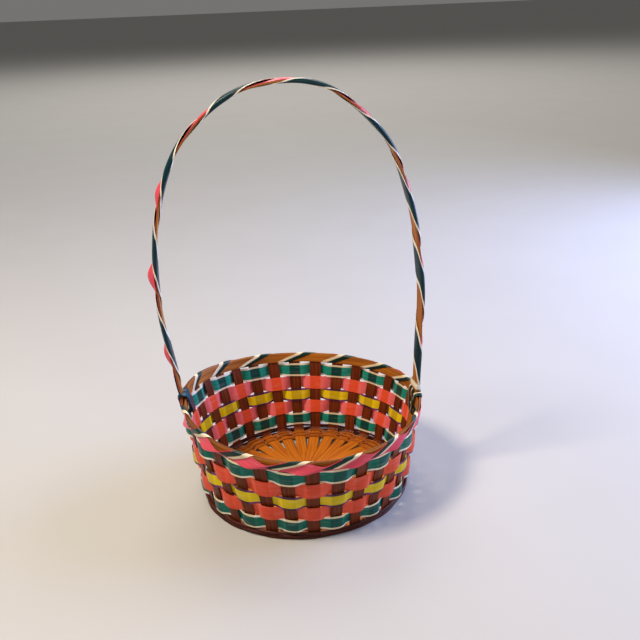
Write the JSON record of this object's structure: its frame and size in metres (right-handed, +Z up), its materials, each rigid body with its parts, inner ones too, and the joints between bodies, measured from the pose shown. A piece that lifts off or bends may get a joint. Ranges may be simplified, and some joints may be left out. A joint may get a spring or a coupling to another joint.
{
  "type": "easter basket",
  "caption": "Round woven gift basket with flaring wall, bright plastic ribbons on wood splints, lashed rim and a tall fixed wrapped handle.",
  "frame": {"origin": "centre of the flat bottom of the lowest base ring, on the surface the basket stands on", "axes": "+Z up; the handle arch lies in the X-Z plane; +Y across the handle"},
  "size_m": [0.2766, 0.261, 0.4408],
  "materials": {
    "stained_splint": "thin splint stained dark red-brown, open grain",
    "pale_splint": "thin splint stained orange-brown",
    "dark_round": "round reed stained dark brown",
    "band_wood": "flat orange-brown wood band, satin stain",
    "teal_ribbon": "translucent teal ribbon with white edges",
    "coral_ribbon": "translucent coral ribbon",
    "yellow_ribbon": "translucent yellow ribbon with purple edges",
    "lash_strip": "dark green strip with white edges",
    "cream_strip": "cream strip"
  },
  "bodies": {
    "root": {"splint_01": "stained_splint", "splint_02": "stained_splint", "splint_03": "stained_splint", "splint_04": "stained_splint", "splint_05": "stained_splint", "splint_06": "stained_splint", "splint_07": "stained_splint", "splint_08": "stained_splint", "splint_09": "stained_splint", "splint_10": "stained_splint", "splint_11": "stained_splint", "splint_12": "stained_splint", "splint_13": "stained_splint", "splint_14": "stained_splint", "splint_15": "stained_splint", "splint_16": "stained_splint", "floor_round_1": "pale_splint", "floor_round_2": "pale_splint", "floor_round_3": "pale_splint", "floor_round_4": "pale_splint", "floor_round_5": "pale_splint", "base_ring_1": "dark_round", "base_ring_2": "dark_round", "base_ring_3": "dark_round", "weaver_teal_top": "teal_ribbon", "weaver_coral_upper": "coral_ribbon", "weaver_yellow": "yellow_ribbon", "weaver_coral_lower": "coral_ribbon", "weaver_teal_bottom": "teal_ribbon", "rim_band_inner": "band_wood", "rim_band_outer": "band_wood", "rim_ribbon": "coral_ribbon", "rim_lashing": "lash_strip", "rim_tie_left": "lash_strip", "rim_tie_right": "lash_strip", "handle_band": "band_wood", "handle_ribbon": "coral_ribbon", "handle_wrap": "lash_strip", "foot_ring_right": "cream_strip"}
  },
  "joints": []
}
